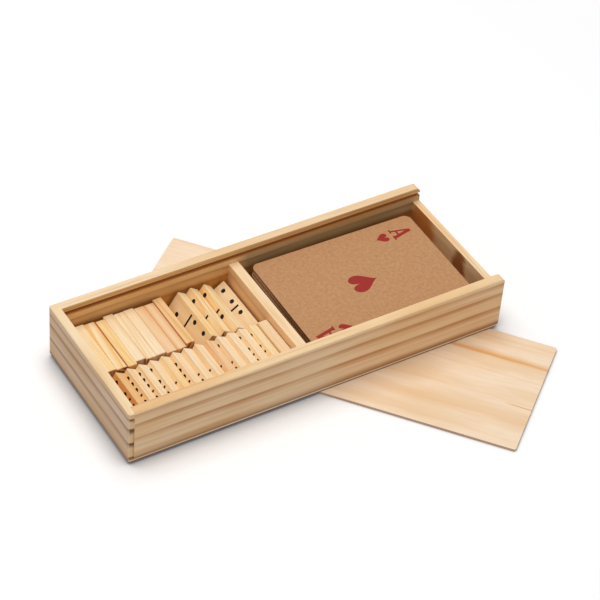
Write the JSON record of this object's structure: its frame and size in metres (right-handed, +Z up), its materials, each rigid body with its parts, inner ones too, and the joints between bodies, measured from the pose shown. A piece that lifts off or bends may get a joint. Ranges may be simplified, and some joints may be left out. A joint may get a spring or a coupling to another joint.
{
  "type": "games compendium box",
  "caption": "Pine games box with rebated corners and a sliding lid, holding standing dominoes in two rows and a deck of playing cards beyond a divider",
  "frame": {"origin": "middle of the whole set's footprint, on the table", "axes": "+X along the box towards its low open end, +Y towards the back long wall, +Z up"},
  "size_m": [0.2162, 0.1978, 0.0314],
  "materials": {
    "case_wood": "smooth pine, light oil",
    "base_wood": "thin pale plywood",
    "lid_wood": "thin pale plywood",
    "domino_wood": "smooth light wood with black pressed marks",
    "card_edges": "matt kraft card",
    "card_face": "matt kraft card with dark red print"
  },
  "bodies": {
    "case": {"front_wall": "case_wood", "back_wall": "case_wood", "left_end_wall": "case_wood", "right_end_wall": "case_wood", "base_panel": "base_wood", "divider": "case_wood"},
    "lid": {"sliding_lid": "lid_wood"},
    "deck": {"card_deck": "card_edges"},
    "top_card": {"ace_of_hearts": "card_face"},
    "domino_0_0_tile": {"domino_0_0": "domino_wood"},
    "domino_0_1_tile": {"domino_0_1": "domino_wood"},
    "domino_0_2_tile": {"domino_0_2": "domino_wood"},
    "domino_0_3_tile": {"domino_0_3": "domino_wood"},
    "domino_0_4_tile": {"domino_0_4": "domino_wood"},
    "domino_0_5_tile": {"domino_0_5": "domino_wood"},
    "domino_0_6_tile": {"domino_0_6": "domino_wood"},
    "domino_1_1_tile": {"domino_1_1": "domino_wood"},
    "domino_1_2_tile": {"domino_1_2": "domino_wood"},
    "domino_1_3_tile": {"domino_1_3": "domino_wood"},
    "domino_1_4_tile": {"domino_1_4": "domino_wood"},
    "domino_1_5_tile": {"domino_1_5": "domino_wood"},
    "domino_1_6_tile": {"domino_1_6": "domino_wood"},
    "domino_2_2_tile": {"domino_2_2": "domino_wood"},
    "domino_2_3_tile": {"domino_2_3": "domino_wood"},
    "domino_2_4_tile": {"domino_2_4": "domino_wood"},
    "domino_2_5_tile": {"domino_2_5": "domino_wood"},
    "domino_2_6_tile": {"domino_2_6": "domino_wood"},
    "domino_3_3_tile": {"domino_3_3": "domino_wood"},
    "domino_3_4_tile": {"domino_3_4": "domino_wood"},
    "domino_3_5_tile": {"domino_3_5": "domino_wood"},
    "domino_3_6_tile": {"domino_3_6": "domino_wood"},
    "domino_4_4_tile": {"domino_4_4": "domino_wood"},
    "domino_4_5_tile": {"domino_4_5": "domino_wood"},
    "domino_4_6_tile": {"domino_4_6": "domino_wood"},
    "domino_5_5_tile": {"domino_5_5": "domino_wood"},
    "domino_5_6_tile": {"domino_5_6": "domino_wood"},
    "domino_6_6_tile": {"domino_6_6": "domino_wood"}
  },
  "joints": [
    {"name": "slide_lid", "type": "slide", "parent": "case", "child": "lid", "axis": [0.6374, -0.7705, 0], "range_m": [0, 0.15]},
    {"name": "lift_deck", "type": "slide", "parent": "case", "child": "deck", "axis": [0, 0, 1], "range_m": [0, 0.03]},
    {"name": "lift_top_card", "type": "slide", "parent": "deck", "child": "top_card", "axis": [0, 0, 1], "range_m": [0, 0.02]},
    {"name": "lift_domino_0_3", "type": "slide", "parent": "case", "child": "domino_0_3_tile", "axis": [0, 0, 1], "range_m": [0, 0.02]},
    {"name": "lift_domino_0_5", "type": "slide", "parent": "case", "child": "domino_0_5_tile", "axis": [0, 0, 1], "range_m": [0, 0.02]},
    {"name": "lift_domino_0_6", "type": "slide", "parent": "case", "child": "domino_0_6_tile", "axis": [0, 0, 1], "range_m": [0, 0.02]},
    {"name": "lift_domino_1_2", "type": "slide", "parent": "case", "child": "domino_1_2_tile", "axis": [0, 0, 1], "range_m": [0, 0.02]},
    {"name": "lift_domino_1_5", "type": "slide", "parent": "case", "child": "domino_1_5_tile", "axis": [0, 0, 1], "range_m": [0, 0.02]},
    {"name": "lift_domino_1_6", "type": "slide", "parent": "case", "child": "domino_1_6_tile", "axis": [0, 0, 1], "range_m": [0, 0.02]},
    {"name": "lift_domino_2_4", "type": "slide", "parent": "case", "child": "domino_2_4_tile", "axis": [0, 0, 1], "range_m": [0, 0.02]},
    {"name": "lift_domino_3_5", "type": "slide", "parent": "case", "child": "domino_3_5_tile", "axis": [0, 0, 1], "range_m": [0, 0.02]},
    {"name": "lift_domino_3_6", "type": "slide", "parent": "case", "child": "domino_3_6_tile", "axis": [0, 0, 1], "range_m": [0, 0.02]},
    {"name": "lift_domino_4_4", "type": "slide", "parent": "case", "child": "domino_4_4_tile", "axis": [0, 0, 1], "range_m": [0, 0.02]},
    {"name": "lift_domino_5_5", "type": "slide", "parent": "domino_5_6_tile", "child": "domino_5_5_tile", "axis": [0.4909, 0, 0.8712], "range_m": [0, 0.02]},
    {"name": "lift_domino_5_6", "type": "slide", "parent": "domino_4_6_tile", "child": "domino_5_6_tile", "axis": [0.4894, 0, 0.8721], "range_m": [0, 0.02]},
    {"name": "lift_domino_4_6", "type": "slide", "parent": "domino_4_5_tile", "child": "domino_4_6_tile", "axis": [0.4879, 0, 0.8729], "range_m": [0, 0.02]},
    {"name": "lift_domino_4_5", "type": "slide", "parent": "domino_0_0_tile", "child": "domino_4_5_tile", "axis": [0.4863, 0, 0.8738], "range_m": [0, 0.02]},
    {"name": "lift_domino_0_0", "type": "slide", "parent": "domino_6_6_tile", "child": "domino_0_0_tile", "axis": [0.4848, 0, 0.8746], "range_m": [0, 0.02]},
    {"name": "lift_domino_6_6", "type": "slide", "parent": "domino_1_3_tile", "child": "domino_6_6_tile", "axis": [0.4741, 0, 0.8805], "range_m": [0, 0.02]},
    {"name": "lift_domino_1_3", "type": "slide", "parent": "domino_0_1_tile", "child": "domino_1_3_tile", "axis": [0.4633, 0, 0.8862], "range_m": [0, 0.02]},
    {"name": "lift_domino_0_1", "type": "slide", "parent": "domino_1_1_tile", "child": "domino_0_1_tile", "axis": [0.454, 0, 0.891], "range_m": [0, 0.02]},
    {"name": "lift_domino_1_1", "type": "slide", "parent": "domino_3_3_tile", "child": "domino_1_1_tile", "axis": [0.4493, 0, 0.8934], "range_m": [0, 0.02]},
    {"name": "lift_domino_3_3", "type": "slide", "parent": "domino_2_6_tile", "child": "domino_3_3_tile", "axis": [0.4446, 0, 0.8957], "range_m": [0, 0.02]},
    {"name": "lift_domino_2_6", "type": "slide", "parent": "domino_3_4_tile", "child": "domino_2_6_tile", "axis": [0.4399, 0, 0.898], "range_m": [0, 0.02]},
    {"name": "lift_domino_3_4", "type": "slide", "parent": "domino_0_4_tile", "child": "domino_3_4_tile", "axis": [0.4352, 0, 0.9003], "range_m": [0, 0.02]},
    {"name": "lift_domino_0_4", "type": "slide", "parent": "domino_2_2_tile", "child": "domino_0_4_tile", "axis": [0, 0, 1], "range_m": [0, 0.02]},
    {"name": "lift_domino_2_2", "type": "slide", "parent": "case", "child": "domino_2_2_tile", "axis": [0, 0, 1], "range_m": [0, 0.02]},
    {"name": "lift_domino_1_4", "type": "slide", "parent": "domino_0_2_tile", "child": "domino_1_4_tile", "axis": [0.5373, 0, 0.8434], "range_m": [0, 0.02]},
    {"name": "lift_domino_0_2", "type": "slide", "parent": "domino_2_3_tile", "child": "domino_0_2_tile", "axis": [0.5664, 0, 0.8241], "range_m": [0, 0.02]},
    {"name": "lift_domino_2_3", "type": "slide", "parent": "domino_2_5_tile", "child": "domino_2_3_tile", "axis": [0.5807, 0, 0.8141], "range_m": [0, 0.02]},
    {"name": "lift_domino_2_5", "type": "slide", "parent": "case", "child": "domino_2_5_tile", "axis": [0, 0, 1], "range_m": [0, 0.02]}
  ]
}
